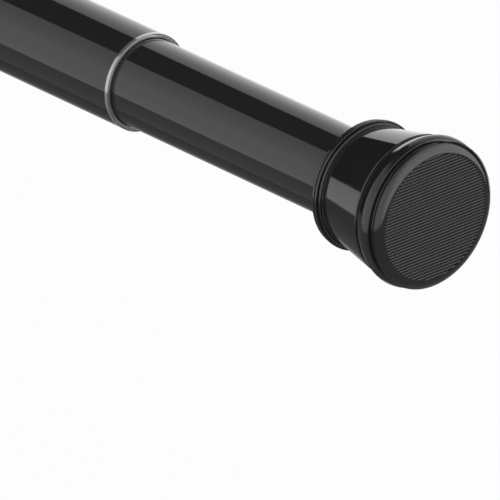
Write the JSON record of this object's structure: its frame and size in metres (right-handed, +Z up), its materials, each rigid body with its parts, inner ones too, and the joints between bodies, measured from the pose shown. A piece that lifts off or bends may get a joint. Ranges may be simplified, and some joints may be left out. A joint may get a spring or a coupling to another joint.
{
  "type": "spring tension rod",
  "caption": "Telescoping black tension rod: a thin tube screws out of a thicker one, and a hidden spring presses ribbed rubber end pads against two walls.",
  "frame": {"origin": "centre of the outer tube's pad face, on the rod's axis", "axes": "+X along the rod, from the outer tube's pad to the inner tube's pad; +Z up, square to the pads' ribs"},
  "size_m": [0.786, 0.0492, 0.0492],
  "materials": {
    "tube_enamel": "gloss black enamel",
    "cap_plastic": "gloss black moulded plastic",
    "pad_rubber": "satin charcoal rubber, ribbed face",
    "bright_ring": "bright plated ring",
    "bushing_plastic": "black polished nylon",
    "plug_plastic": "moulded nylon",
    "nut_plastic": "natural acetal",
    "zinc_steel": "zinc plated",
    "spring_steel": "oiled spring wire"
  },
  "bodies": {
    "outer": {"outer_tube": "tube_enamel", "mouth_collar": "bright_ring", "mouth_bushing": "bushing_plastic", "outer_end_plug": "plug_plastic", "outer_end_cap": "cap_plastic", "outer_end_pad": "pad_rubber", "outer_cap_screw": "zinc_steel", "lead_screw": "zinc_steel", "screw_anchor_pin": "zinc_steel", "screw_end_stop": "zinc_steel", "stop_screw": "zinc_steel"},
    "glide": {"glide_ring": "plug_plastic"},
    "nut": {"screw_nut": "nut_plastic", "retaining_clip": "zinc_steel", "spring_washer": "zinc_steel", "tension_spring": "spring_steel"},
    "inner": {"inner_tube": "tube_enamel", "nut_keys": "zinc_steel", "spring_stop": "zinc_steel", "inner_end_plug": "plug_plastic", "inner_end_cap": "cap_plastic", "inner_end_pad": "pad_rubber", "inner_cap_screw": "zinc_steel"}
  },
  "joints": [
    {"name": "extension", "type": "slide", "parent": "outer", "child": "glide", "axis": [1, 0, 0], "range_m": [-0.075, 0.433]},
    {"name": "twist", "type": "hinge", "parent": "glide", "child": "nut", "pos_m": [0.5, 0, 0], "axis": [1, 0, 0], "range_deg": [-2700, 15588]},
    {"name": "tension", "type": "slide", "parent": "nut", "child": "inner", "axis": [1, 0, 0], "range_m": [-0.025, 0], "stiffness_N_per_m": 4000, "springref_m": 0.01, "deforming": ["tension_spring"]}
  ],
  "couplings": [
    {"joint": "twist", "follows": "extension", "rad_per_m": 628.32}
  ]
}
